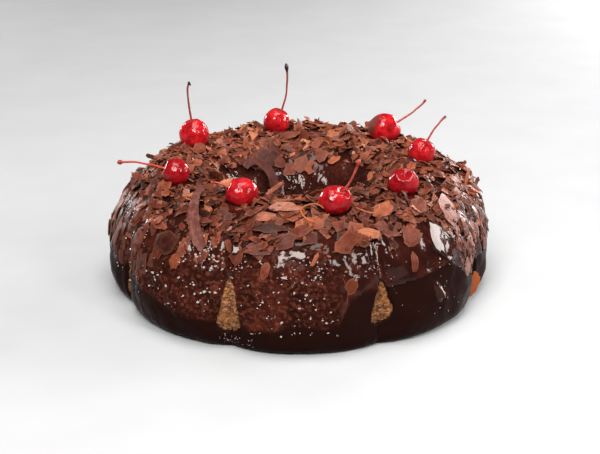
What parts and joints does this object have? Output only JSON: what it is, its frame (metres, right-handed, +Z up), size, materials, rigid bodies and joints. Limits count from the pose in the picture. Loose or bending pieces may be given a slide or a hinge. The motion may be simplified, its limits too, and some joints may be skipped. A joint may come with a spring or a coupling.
{
  "type": "chocolate ring cake",
  "caption": "Fluted chocolate ring cake under a poured chocolate coat, topped with chocolate shavings and stemmed red cherries.",
  "frame": {"origin": "centre of the cake's box at the table, under the middle of the hole", "axes": "+Z up out of the hole, -Y towards the side shown in front"},
  "size_m": [0.2442, 0.2442, 0.125],
  "materials": {
    "sponge": "matte",
    "chocolate": "gloss",
    "cherry": "gloss",
    "stem": "satin"
  },
  "bodies": {
    "root": {"sponge": "sponge", "ganache_coat": "chocolate", "cherry_1": "cherry", "stem_1": "stem", "cherry_2": "cherry", "stem_2": "stem", "cherry_3": "cherry", "stem_3": "stem", "cherry_4": "cherry", "stem_4": "stem", "cherry_5": "cherry", "stem_5": "stem", "cherry_6": "cherry", "stem_6": "stem", "cherry_7": "cherry", "stem_7": "stem", "cherry_8": "cherry", "stem_8": "stem"}
  },
  "joints": []
}
